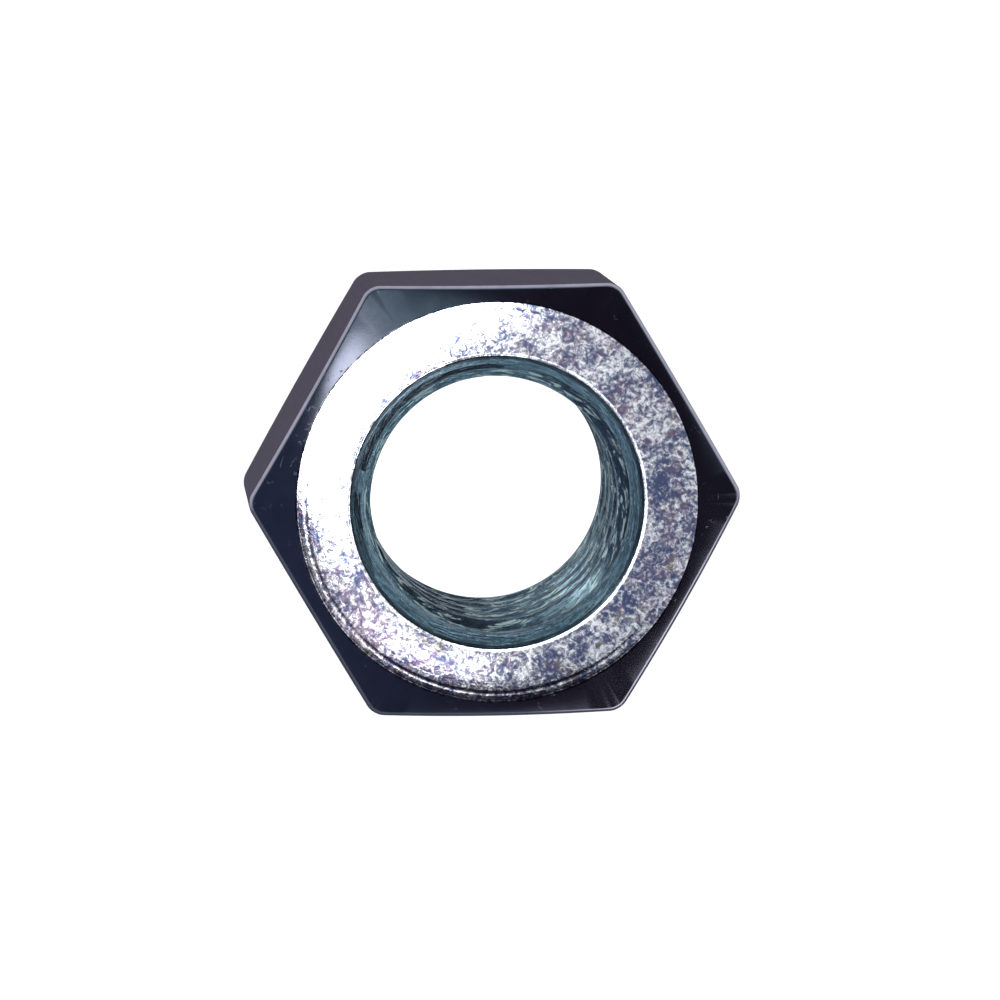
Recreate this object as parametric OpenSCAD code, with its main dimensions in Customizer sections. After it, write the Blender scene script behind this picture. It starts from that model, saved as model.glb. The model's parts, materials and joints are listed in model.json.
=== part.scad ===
// Hexagon nut, regular style, coarse metric thread, plain steel, chamfered at both ends.
// The thread axis is +Z and the origin is the centre of the lower bearing face.
// Two of the flats face +Y and -Y, so two of the corners point along +X and -X.

/* [Hexagon] */
// Width across flats, in millimetres like every length here
across_flats = 18; // [17.6:0.1:19]
// Height between the two bearing faces
nut_height = 10.6; // [8:0.1:12]
// Radius of the six upright corners
corner_r = 0.8; // [0.3:0.1:1.5]

/* [End chamfers] */
// Diameter of the flat bearing face inside each chamfer
bearing_d = 16.9; // [16.4:0.1:17.5]
// Slope of the chamfer below the plane of the bearing face, in degrees
chamfer_angle = 30; // [15:1:30]

/* [Threaded bore] */
// Major diameter of the thread
thread_d = 12; // [11.8:0.1:12.2]
// Rise of the thread in one turn
thread_pitch = 1.75; // [1.25:0.25:1.75]
// Opening of the bore at the thread crests beyond the basic minor diameter
crest_clearance = 0.2; // [0:0.05:0.3]
// Diameter of the countersink where it meets a bearing face
mouth_d = 12.4; // [12.1:0.1:13]
// Slope of the countersink below the plane of the bearing face, in degrees
mouth_angle = 35; // [30:1:45]

/* [Hidden] */
$fn = 96;

// A 60 degree thread is cut to five eighths of the height of its full triangle
minor_d = thread_d - 2 * 5 / 8 * thread_pitch * cos(30) + crest_clearance;
mouth_depth = (mouth_d - minor_d) / 2 * tan(mouth_angle);

// Centres of the corner rounds lie on a smaller hexagon inside the first
corner_ring_r = (across_flats / 2 - corner_r) / cos(30);
corners_r = corner_ring_r + corner_r;
corner_steps = 12;

// The turned profile runs just past the corners, where the chamfer is deepest
profile_r = corners_r + 1;
profile_drop = (profile_r - bearing_d / 2) * tan(chamfer_angle);
past = 1;

// Outline of the hexagonal bar: six arcs, joined by the flats between them
module bar_outline() {
    polygon([
        for (corner = [0 : 60 : 300], turn = [-30 : 60 / corner_steps : 30])
            corner_ring_r * [cos(corner), sin(corner)]
            + corner_r * [cos(corner + turn), sin(corner + turn)]
    ]);
}

// Round blank that leaves the flat bearing faces and the sloped chamfers
module chamfer_envelope() {
    rotate_extrude()
        polygon([
            [0, 0],
            [bearing_d / 2, 0],
            [profile_r, profile_drop],
            [profile_r, nut_height - profile_drop],
            [bearing_d / 2, nut_height],
            [0, nut_height]
        ]);
}

// Bore at the thread crests, open to the countersink at each end
module threaded_bore() {
    translate([0, 0, -past])
        cylinder(d = minor_d, h = nut_height + 2 * past);
    countersink();
    translate([0, 0, nut_height])
        mirror([0, 0, 1])
            countersink();
}

// Countersink rising from the plane z = 0, carried a little below that plane
module countersink() {
    spread = past / tan(mouth_angle);
    translate([0, 0, -past])
        cylinder(
            r1 = mouth_d / 2 + spread,
            r2 = minor_d / 2,
            h = mouth_depth + past
        );
}

module nut_body() {
    color("lightsteelblue")
        difference() {
            intersection() {
                linear_extrude(nut_height)
                    bar_outline();
                chamfer_envelope();
            }
            threaded_bore();
        }
}

nut_body();
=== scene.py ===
import json
import math

import bmesh
import bpy
from mathutils import Matrix, Vector


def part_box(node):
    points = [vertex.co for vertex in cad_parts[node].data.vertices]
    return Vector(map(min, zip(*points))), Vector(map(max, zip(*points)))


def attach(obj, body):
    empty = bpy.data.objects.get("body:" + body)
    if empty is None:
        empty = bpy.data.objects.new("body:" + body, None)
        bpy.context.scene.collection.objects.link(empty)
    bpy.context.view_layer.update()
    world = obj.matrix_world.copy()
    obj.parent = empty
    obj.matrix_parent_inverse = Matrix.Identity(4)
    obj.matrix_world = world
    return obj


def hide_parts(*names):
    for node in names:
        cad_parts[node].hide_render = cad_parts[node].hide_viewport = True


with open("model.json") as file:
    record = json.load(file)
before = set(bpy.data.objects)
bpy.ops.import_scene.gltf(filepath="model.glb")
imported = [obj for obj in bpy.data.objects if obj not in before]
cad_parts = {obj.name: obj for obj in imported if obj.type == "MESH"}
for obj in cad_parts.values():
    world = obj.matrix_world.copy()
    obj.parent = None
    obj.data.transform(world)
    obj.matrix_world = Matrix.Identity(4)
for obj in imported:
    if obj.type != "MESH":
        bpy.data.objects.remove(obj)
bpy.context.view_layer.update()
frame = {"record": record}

# ---------------------------------------------------------------------------
# Camera. It looks down from eight degrees off the thread axis, over the corner at
# the back left (back is +y), so two flats and the bore's wall opposite show.
low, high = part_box("nut_body")
off_axis = (0.00010, 0.00012)
sight = Vector((*off_axis, high.z))
stand_off = Vector((-0.0161, 0.0246, 0.2152))
roll = -0.008
backward = stand_off.normalized()
rightward = Vector((0, 1, 0)).cross(backward).normalized()
upward = backward.cross(rightward)
facing_nut = Matrix((rightward, upward, backward)).transposed()

lens = bpy.data.cameras.new("eye")
lens.lens = 188.9
lens.clip_start = 0.01
lens.clip_end = 10.0
eye = bpy.data.objects.new("eye", lens)
bpy.context.scene.collection.objects.link(eye)
eye.location = sight + stand_off
eye.rotation_euler = (facing_nut @ Matrix.Rotation(roll, 3, "Z")).to_euler()
bpy.context.scene.camera = eye

# ---------------------------------------------------------------------------
# Nut body. A slug of steel is forged to a hexagon, faced and chamfered at 30
# degrees at each end, countersunk and tapped, then zinc plated.

# modelled a thousand times its size, since a thread crest is finer than the modelling
# tools' own limits in metres, and shrunk to metres once it is tapped
mm = 1000.0
top = high.z * mm
flats = (high.y - low.y) * mm
corner_r = 0.8
half_corner = math.radians(30)
# the bevels push the flats out by a few micrometres, so the bar is drawn that much under
edge_room = 0.004
bar_corner = (flats / 2 - edge_room) / math.cos(half_corner)

bpy.ops.object.select_all(action="DESELECT")
bpy.ops.mesh.primitive_cylinder_add(
    vertices=6, radius=bar_corner, depth=top + 2,
    location=(0, 0, top / 2), rotation=(0, 0, half_corner),
)
bar = bpy.context.object
bar.name = "bar"
bpy.ops.object.transform_apply(location=True, rotation=True, scale=True)
bpy.ops.object.mode_set(mode="EDIT")
bpy.ops.mesh.select_mode(type="EDGE")
bpy.ops.mesh.select_all(action="DESELECT")
work = bmesh.from_edit_mesh(bar.data)
for edge in work.edges:
    run = edge.verts[1].co - edge.verts[0].co
    edge.select_set(abs(run.z) > top)
bmesh.update_edit_mesh(bar.data)
bpy.ops.mesh.bevel(
    offset=corner_r * math.tan(half_corner), segments=12, profile=0.5, clamp_overlap=False
)
bpy.ops.mesh.select_mode(type="VERT")
bpy.ops.object.mode_set(mode="OBJECT")


def arc(centre, radius, start, end, steps):
    """Points of an arc in the (r, z) half plane, from start to end in degrees."""
    turns = [math.radians(start + (end - start) * i / steps) for i in range(steps + 1)]
    return [
        (centre[0] + radius * math.cos(turn), centre[1] + radius * math.sin(turn))
        for turn in turns
    ]


def draw_profile(name, points):
    """A wire through (r, z) points, drawn by extruding one vertex, left in edit mode."""
    bpy.ops.object.select_all(action="DESELECT")
    bpy.ops.mesh.primitive_plane_add(size=1, location=(0, 0, 0))
    wire = bpy.context.object
    wire.name = name
    bpy.ops.object.mode_set(mode="EDIT")
    bpy.ops.mesh.select_all(action="SELECT")
    bpy.ops.mesh.merge(type="CENTER")
    bpy.ops.transform.translate(value=(points[0][0], 0, points[0][1]))
    for (r0, z0), (r1, z1) in zip(points, points[1:]):
        bpy.ops.mesh.extrude_vertices_move(TRANSFORM_OT_translate={"value": (r1 - r0, 0, z1 - z0)})
    bpy.ops.mesh.select_all(action="SELECT")
    return wire


def slope_drop(run, slope):
    """How far a cone of that slope in degrees falls over a run."""
    return run * math.tan(math.radians(slope))


# upper half of the turned profile, from the mid height of the bore outwards: the drilled
# bore, the relief at its mouth, the countersink with its burr, the lip, the face, the chamfer
bore_r = 4.7
relief_r = 5.57
relief_deep = 1.00
mouth_r = 6.13
mouth_slope = 42.0
rim_round = 0.25
burr_wide, burr_high = 0.08, 0.005
crown_r, crown_drop = 7.45, 0.015
dip_r, dip_wide, dip_deep = 7.97, 0.26, 0.0030
face_r = 8.35
edge_round = 0.22
chamfer_slope = 30.0
blank_r = 11.0

rim_centre = (mouth_r + rim_round * math.tan(math.radians(mouth_slope / 2)), top - rim_round)
rim = arc(rim_centre, rim_round, 90 + mouth_slope, 90, 6)
foot_z = rim[0][1] - slope_drop(rim[0][0] - relief_r - burr_wide, mouth_slope)
foot = [(relief_r, foot_z - burr_high), (relief_r + burr_wide, foot_z)]
upper = [
    (bore_r, top / 2),
    (bore_r, top - relief_deep - (relief_r - bore_r)),
    (relief_r, top - relief_deep),
] + foot + rim
# the face is crowned towards its edge and carries one shallow turned line
face_end = face_r - edge_round * math.tan(math.radians(chamfer_slope / 2))
crown_steps = 24
for step in range(crown_steps + 1):
    r = crown_r + (face_end - crown_r) * step / crown_steps
    drop = crown_drop * ((r - crown_r) / (face_end - crown_r)) ** 2
    beside = min(abs(r - dip_r) / dip_wide, 0.5)
    drop += dip_deep * (1 + math.cos(math.tau * beside)) / 2
    upper.append((r, top - drop))
edge_centre = (face_end, top - crown_drop - edge_round)
upper += arc(edge_centre, edge_round, 90, 90 - chamfer_slope, 8)[1:]
last_r, last_z = upper[-1]
upper.append((blank_r, last_z - slope_drop(blank_r - last_r, chamfer_slope)))
lower = [(r, top - z) for r, z in reversed(upper[1:])]

fine_merge = 0.001
spin_steps = 180
nut = draw_profile("nut", upper + lower + [upper[0]])
bpy.ops.mesh.remove_doubles(threshold=fine_merge)
bpy.ops.mesh.select_all(action="SELECT")
bpy.ops.mesh.spin(steps=spin_steps, angle=math.tau, center=(0, 0, 0), axis=(0, 0, 1))
bpy.ops.mesh.select_all(action="SELECT")
bpy.ops.mesh.remove_doubles(threshold=fine_merge)
bpy.ops.mesh.normals_make_consistent(inside=False)
# turned by half a step, so that no edge of the spin meets a corner of the hexagon
bpy.ops.transform.rotate(
    value=math.pi / spin_steps, orient_axis="Z", center_override=(0, 0, 0)
)
bpy.ops.object.mode_set(mode="OBJECT")


def boolean(body, cutter, operation):
    """Applies an exact Boolean of cutter on body, and clears the cutter away."""
    bpy.ops.object.select_all(action="DESELECT")
    bpy.context.view_layer.objects.active = body
    body.select_set(True)
    cut = body.modifiers.new(operation.lower(), "BOOLEAN")
    cut.operation = operation
    cut.object = cutter
    cut.solver = "EXACT"
    bpy.ops.object.modifier_apply(modifier=cut.name)
    bpy.data.objects.remove(cutter)


boolean(nut, bar, "INTERSECT")

bpy.ops.object.mode_set(mode="EDIT")
bpy.ops.mesh.select_all(action="SELECT")
sliver_merge = 0.012
bpy.ops.mesh.remove_doubles(threshold=sliver_merge)
bpy.ops.object.mode_set(mode="OBJECT")

# the plating and the tumbling break the edges between the chamfers and the flats
soft = nut.modifiers.new("broken_edges", "BEVEL")
soft.limit_method = "ANGLE"
soft.angle_limit = math.radians(42)
soft.width = edge_round
soft.segments = 5
soft.use_clamp_overlap = False
bpy.ops.object.modifier_apply(modifier=soft.name)

# tap: one pitch of thread, screwed past both faces and cut square
pitch = 1.75
crest_r = frame["record"]["mounts"][0]["dims"]["r_mm"]
root_r = 6.0
flank = 30.0
crest_round = 0.11
root_round = 0.16
exit_angle = 215.0
crest_half = pitch / 2 - pitch / 16 - (root_r - crest_r) * math.tan(math.radians(flank))
land_half = crest_half - crest_round * math.tan(math.radians((90 - flank) / 2))
corner = arc((crest_r + crest_round, land_half), crest_round, 180, 90 + flank, 4)
apex_r = crest_r + (pitch / 2 - crest_half) / math.tan(math.radians(flank))
root_centre = (apex_r - root_round / math.sin(math.radians(flank)), pitch / 2)
root = arc(root_centre, root_round, flank - 90, 90 - flank, 8)
other_corner = [(r, pitch - z) for r, z in reversed(corner)]
tooth = [(crest_r, 0.0)] + corner + root + other_corner + [(crest_r, pitch)]

overrun = 0.4
exit_z = top - pitch / 2 - pitch * exit_angle / 360
turns_below = math.ceil((exit_z + overrun) / pitch) + 1
start_z = exit_z - turns_below * pitch
turns = math.ceil((top + overrun - start_z) / pitch)
tap = draw_profile("tap", [(r, z + start_z) for r, z in tooth])
bpy.ops.object.mode_set(mode="OBJECT")
screw = tap.modifiers.new("thread", "SCREW")
screw.axis = "Z"
screw.angle = math.tau
screw.steps = screw.render_steps = 144
screw.screw_offset = pitch
screw.iterations = turns
bpy.ops.object.modifier_apply(modifier=screw.name)
bpy.ops.object.mode_set(mode="EDIT")
bpy.ops.mesh.select_all(action="SELECT")
bpy.ops.mesh.remove_doubles(threshold=fine_merge)
for plane_z, facing in ((-overrun, -1), (top + overrun, 1)):
    bpy.ops.mesh.select_all(action="SELECT")
    bpy.ops.mesh.bisect(
        plane_co=(0, 0, plane_z), plane_no=(0, 0, facing), use_fill=True, clear_outer=True
    )
bpy.ops.mesh.select_all(action="SELECT")
bpy.ops.mesh.normals_make_consistent(inside=False)
bpy.ops.object.mode_set(mode="OBJECT")
boolean(nut, tap, "DIFFERENCE")

bpy.ops.object.mode_set(mode="EDIT")
bpy.ops.mesh.select_all(action="SELECT")
bpy.ops.mesh.remove_doubles(threshold=fine_merge / 10)
bpy.ops.mesh.normals_make_consistent(inside=False)
bpy.ops.transform.resize(value=(1 / mm, 1 / mm, 1 / mm), center_override=(0, 0, 0))
bpy.ops.object.mode_set(mode="OBJECT")
bpy.ops.object.select_all(action="DESELECT")
bpy.context.view_layer.objects.active = nut
nut.select_set(True)
bpy.ops.object.shade_smooth_by_angle(angle=math.radians(35))
even = nut.modifiers.new("even_shading", "WEIGHTED_NORMAL")
even.keep_sharp = True
bpy.ops.object.modifier_apply(modifier=even.name)


class Socket:
    """A node's output in arithmetic: each operator on it adds a Math node."""

    def __init__(self, graph, output):
        self.graph = graph
        self.output = output

    def _with(self, operation, first, second):
        settings = {"operation": operation}
        return self.graph.node("ShaderNodeMath", settings, {0: first, 1: second})

    def __add__(self, other):
        return self._with("ADD", self, other)

    __radd__ = __add__

    def __sub__(self, other):
        return self._with("SUBTRACT", self, other)

    def __rsub__(self, other):
        return self._with("SUBTRACT", other, self)

    def __mul__(self, other):
        return self._with("MULTIPLY", self, other)

    __rmul__ = __mul__

    def __truediv__(self, other):
        return self._with("DIVIDE", self, other)

    def __rtruediv__(self, other):
        return self._with("DIVIDE", other, self)

    def __pow__(self, other):
        return self._with("POWER", self, other)


class Graph:
    """A tree of shading nodes, each made by one call of node()."""

    def __init__(self, tree):
        self.tree = tree

    def feed(self, socket, value):
        """Links a Socket to an input, or sets a plain value on it."""
        if isinstance(value, Socket):
            self.tree.links.new(value.output, socket)
        else:
            socket.default_value = value

    def node(self, kind, settings, sockets, output=0):
        made = self.tree.nodes.new(kind)
        for name, value in settings.items():
            setattr(made, name, value)
        for name, value in sockets.items():
            self.feed(made.inputs[name], value)
        return Socket(self, made.outputs[output])

    def step_up(self, value, start, end):
        """Zero below start and one above end, smooth between."""
        settings = {"interpolation_type": "SMOOTHSTEP"}
        sockets = {"Value": value, "From Min": start, "From Max": end}
        return self.node("ShaderNodeMapRange", settings, sockets)

    def mix(self, factor, first, second):
        """One colour fading into another as the factor goes from zero to one."""
        settings = {"data_type": "RGBA"}
        return self.node("ShaderNodeMix", settings, {0: factor, 6: first, 7: second}, 2)

    def noise(self, where, scale, detail, rough, distortion):
        """Fractal noise of about scale features to the metre."""
        sockets = {
            "Vector": where, "Scale": scale, "Detail": detail,
            "Roughness": rough, "Distortion": distortion,
        }
        return self.node("ShaderNodeTexNoise", {}, sockets, "Fac")


plate = bpy.data.materials.new("zinc_plate")
plate.use_nodes = True
zinc = Graph(plate.node_tree)
shader = plate.node_tree.nodes["Principled BSDF"].inputs
here = zinc.node("ShaderNodeTexCoord", {}, {}, "Object")
x, y, z = (zinc.node("ShaderNodeSeparateXYZ", {}, {"Vector": here}, axis) for axis in "XYZ")
radius = (x * x + y * y) ** 0.5

# where on the nut: the two bearing faces, the bore, the burnished lip, the thread
half_high = high.z / 2
past_mid = ((z - half_high) ** 2) ** 0.5
on_face = zinc.step_up(past_mid, half_high - 0.000048, half_high - 0.000022)
bore_end, lip_end, fade = 0.00614, 0.00625, 0.00002
in_bore = 1 - zinc.step_up(radius, bore_end - fade, bore_end + fade)
on_lip = (1 - in_bore) * (1 - zinc.step_up(radius, lip_end - fade, lip_end + fade))
thread_end = half_high - relief_deep / mm
in_thread = 1 - zinc.step_up(past_mid, thread_end - 0.00012, thread_end)
grainy = on_face * (1 - in_bore) * (1 - on_lip)

# the plating: fine crystals, patches of them, and the tints of the passivation film
grain = zinc.noise(here, 5200.0, 3.0, 0.65, 0.4)
pits = zinc.noise(here, 2700.0, 4.0, 0.7, 1.2)
patches = zinc.noise(here, 620.0, 3.0, 0.6, 0.6)
tints = zinc.noise(here, 1300.0, 2.0, 0.6, 0.8)
film = zinc.noise(here, 330.0, 3.0, 0.6, 0.8)

bright_zinc = (0.92, 0.93, 0.95, 1)
navy_zinc = (0.066, 0.084, 0.168, 1)
plum_zinc = (0.15, 0.11, 0.19, 1)
straw_zinc = (0.15, 0.15, 0.13, 1)
dark_zinc = zinc.mix(zinc.step_up(tints * 0.6 + film * 0.4, 0.46, 0.58), navy_zinc, plum_zinc)
dark_zinc = zinc.mix(zinc.step_up(tints, 0.60, 0.68), dark_zinc, straw_zinc)
crystals = zinc.step_up(pits * 0.5 + grain * 0.35 + patches * 0.3, 0.455, 0.745)
face_colour = zinc.mix(zinc.step_up(crystals + on_lip * 0.25, 0.0, 1.0), dark_zinc, bright_zinc)

# the flats keep faint lines from the drawn bar, which run along its length
cone_reach = half_high + slope_drop(face_r / mm, chamfer_slope)
below_cone = past_mid + slope_drop(radius, chamfer_slope)
on_flat = 1 - zinc.step_up(below_cone, cone_reach - 0.0002, cone_reach)
along_bar = zinc.node("ShaderNodeCombineXYZ", {}, {"X": x, "Y": y, "Z": z * 0.05})
draw_lines = zinc.noise(along_bar, 4200.0, 3.0, 0.6, 0.2)
skin_tone = patches + (draw_lines - 0.5) * on_flat * 0.9
dull_skin, bright_skin = (0.30, 0.29, 0.36, 1), (0.54, 0.53, 0.64, 1)
skin_colour = zinc.mix(skin_tone, dull_skin, bright_skin)

# tool marks in the bore follow the thread, so their noise is drawn out around the axis
wrap_r = 0.0005
around = zinc.node(
    "ShaderNodeCombineXYZ", {}, {"X": x / radius * wrap_r, "Y": y / radius * wrap_r, "Z": z}
)
marks = zinc.noise(around, 13000.0, 3.0, 0.6, 0.5)
bore_tone = zinc.step_up(marks * 0.55 + grain * 0.45, 0.36, 0.66)
teal_film, pale_film = (0.24, 0.32, 0.39, 1), (0.50, 0.67, 0.75, 1)
bore_colour = zinc.mix(bore_tone, teal_film, pale_film)

# pale mint streaks along the thread, drawn out like its tool marks, are painted highlights that
# stand in for glints on the thread
painted_glint_streaks = in_thread * zinc.step_up(marks, 0.50, 0.64)
painted_glint_colour, painted_shade_colour = (0.80, 1.00, 0.98, 1), (0.030, 0.035, 0.055, 1)
bore_colour = zinc.mix(painted_glint_streaks, bore_colour, painted_glint_colour)
# the thread's root and a ring under the lip are darkened to near black with painted shade
in_root = in_thread * zinc.step_up(radius, 0.00540, 0.00585)
under_lip = zinc.step_up(radius, 0.00594, 0.00601) * (1 - in_thread)
painted_shade_amount = in_root * 0.6 + under_lip * (0.3 + patches * 0.7)
bore_colour = zinc.mix(painted_shade_amount, bore_colour, painted_shade_colour)

colour = zinc.mix(on_face, skin_colour, face_colour)
colour = zinc.mix(in_bore, colour, bore_colour)
zinc.feed(shader["Base Color"], colour)
# the painted glint streaks in the thread are half matt, and all the rest is bare polished metal
zinc.feed(shader["Metallic"], 1 - in_bore * painted_glint_streaks * 0.4)
zinc.feed(shader["Roughness"], 0.15 - grainy * 0.07 + patches * 0.03 + in_bore * 0.06)

# relief too fine for the mesh: crystals, tool marks, drawn lines and nicks from tumbling
nicks = zinc.step_up(zinc.noise(here, 900.0, 5.0, 0.75, 1.5), 0.62, 0.74)
relief = (grain * 0.6 + pits * 0.8) * (0.3 + 0.3 * grainy) + marks * in_bore * 4.0
relief += draw_lines * on_flat * 0.5
relief -= nicks * (1 - on_face) * (1 - in_bore) * 1.2
relief_unit = 0.000005
bump_sockets = {"Strength": 1.0, "Distance": relief_unit, "Height": relief}
bump = zinc.node("ShaderNodeBump", {}, bump_sockets, "Normal")
zinc.feed(shader["Normal"], bump)

nut.data.materials.clear()
nut.data.materials.append(plate)
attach(nut, "root")
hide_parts("nut_body")

# ---------------------------------------------------------------------------
# Stage. A pale light table under the nut and four soft boxes above it: a
# strong key, a small window, a faint pink one and a wide fill, in a dark room.
bpy.ops.object.select_all(action="DESELECT")
bpy.ops.mesh.primitive_plane_add(size=2.0, location=(0, 0, 0))
floor = bpy.context.object
floor.name = "floor"
paper = bpy.data.materials.new("floor_paper")
paper.use_nodes = True
paper_shader = paper.node_tree.nodes["Principled BSDF"]
paper_shader.inputs["Base Color"].default_value = (0.8, 0.8, 0.8, 1)
paper_shader.inputs["Roughness"].default_value = 1.0
paper_shader.inputs["Specular IOR Level"].default_value = 0.0
paper_shader.inputs["Emission Color"].default_value = (1, 1, 1, 1)
paper_shader.inputs["Emission Strength"].default_value = 0.9
floor.data.materials.append(paper)
floor.visible_glossy = False


def softbox(name, place, size, radiance, colour=(1, 1, 1), turn=0.0):
    """A rectangular lamp that shines straight down, turned about the vertical."""
    light = bpy.data.lights.new(name, "AREA")
    light.shape = "RECTANGLE"
    light.size, light.size_y = size
    light.energy = radiance * math.pi * size[0] * size[1]
    light.color = colour
    holder = bpy.data.objects.new(name, light)
    bpy.context.scene.collection.objects.link(holder)
    holder.location = place
    holder.rotation_euler.z = turn
    holder.visible_camera = False


lamp_z = high.z + 0.060
fill_z = lamp_z + 0.010
# the key hangs over the back left of the nut, with one corner over the front of the face
key_turn = math.radians(-22)
key_size = (0.015, 0.025)
key_corner = Vector((-0.0014, -0.0083, 0))
across = Vector((-math.cos(key_turn), -math.sin(key_turn), 0))
along = Vector((-math.sin(key_turn), math.cos(key_turn), 0))
key_place = key_corner + across * key_size[0] / 2 + along * key_size[1] / 2
key_place.z = lamp_z

softbox("key", key_place, key_size, 20.0, (1, 1, 1), key_turn)
softbox("window", (0.0008, -0.0138, lamp_z), (0.0048, 0.0022), 6.5)
softbox("blush", (-0.0036, -0.0140, lamp_z), (0.0080, 0.0060), 0.35, (1.0, 0.65, 0.80))
softbox("fill", (0.0210, -0.0030, fill_z), (0.058, 0.034), 0.85, (0.93, 0.96, 1.0))

# the room: dark above, brighter low down at the back than at the front, with one bright
# patch low in the front right corner and a soft one high over the back left of the nut
world = bpy.data.worlds.new("room")
world.use_nodes = True
room = Graph(world.node_tree)
toward = room.node("ShaderNodeTexCoord", {}, {}, "Generated")
side_x, side_y, rise = (
    room.node("ShaderNodeSeparateXYZ", {}, {"Vector": toward}, axis) for axis in "XYZ"
)


def glow(azimuth, elevation, wide, narrow):
    """One in the middle of a round patch of the sky, fading out, angles in degrees."""
    turn, tilt = math.radians(azimuth), math.radians(elevation)
    middle = (math.cos(tilt) * math.cos(turn), math.cos(tilt) * math.sin(turn), math.sin(tilt))
    near = room.node(
        "ShaderNodeVectorMath", {"operation": "DOT_PRODUCT"}, {0: toward, 1: middle}, "Value"
    )
    return room.step_up(near, math.cos(math.radians(wide)), math.cos(math.radians(narrow)))


def bands(*stops):
    """Colours by the sine of the elevation, mixed smoothly from each stop to the next."""
    blend = stops[0][1]
    for (start, _), (end, colour) in zip(stops, stops[1:]):
        blend = room.mix(room.step_up(rise, start, end), blend, colour)
    return blend


dark_left, dark_right = (0.030, 0.040, 0.075, 1), (0.013, 0.010, 0.018, 1)
dark_sky = room.mix(room.step_up(side_x, 0.5, -0.8), dark_right, dark_left)
back_wall = bands(
    (-0.90, (0.11, 0.10, 0.13, 1)), (-0.60, (0.80, 0.80, 0.84, 1)), (-0.06, (0.80, 0.80, 0.84, 1)),
    (0.10, (0.24, 0.32, 0.36, 1)), (0.22, (0.15, 0.21, 0.24, 1)), (0.32, dark_sky),
)
front_wall = bands(
    (-0.90, (0.09, 0.10, 0.13, 1)), (-0.10, (0.12, 0.14, 0.16, 1)), (0.00, (0.26, 0.29, 0.33, 1)),
    (0.17, (0.14, 0.17, 0.21, 1)), (0.28, dark_sky),
)
sky = room.mix(room.step_up(side_y, -0.5, 0.1), front_wall, back_wall)
front_right = room.step_up(0.7 * side_x - 0.7 * side_y, 0.78, 0.98)
front_right *= room.step_up(rise, -0.25, -0.05) * (1 - room.step_up(rise, 0.08, 0.20))
sky = room.mix(front_right, sky, (1.7, 1.65, 1.7, 1))
# the glow at the back left, from its wide green haze to its core
sky = room.mix(glow(122, 46, 30, 4) * 0.4, sky, (0.36, 0.56, 0.60, 1))
sky = room.mix(glow(140, 50, 22, 3), sky, (0.9, 0.98, 1.0, 1))
sky = room.mix(glow(140, 36, 9, 3), sky, (1.7, 1.9, 2.0, 1))
room.feed(world.node_tree.nodes["Background"].inputs["Color"], sky)
bpy.context.scene.world = world
bpy.context.scene.view_settings.view_transform = "Standard"
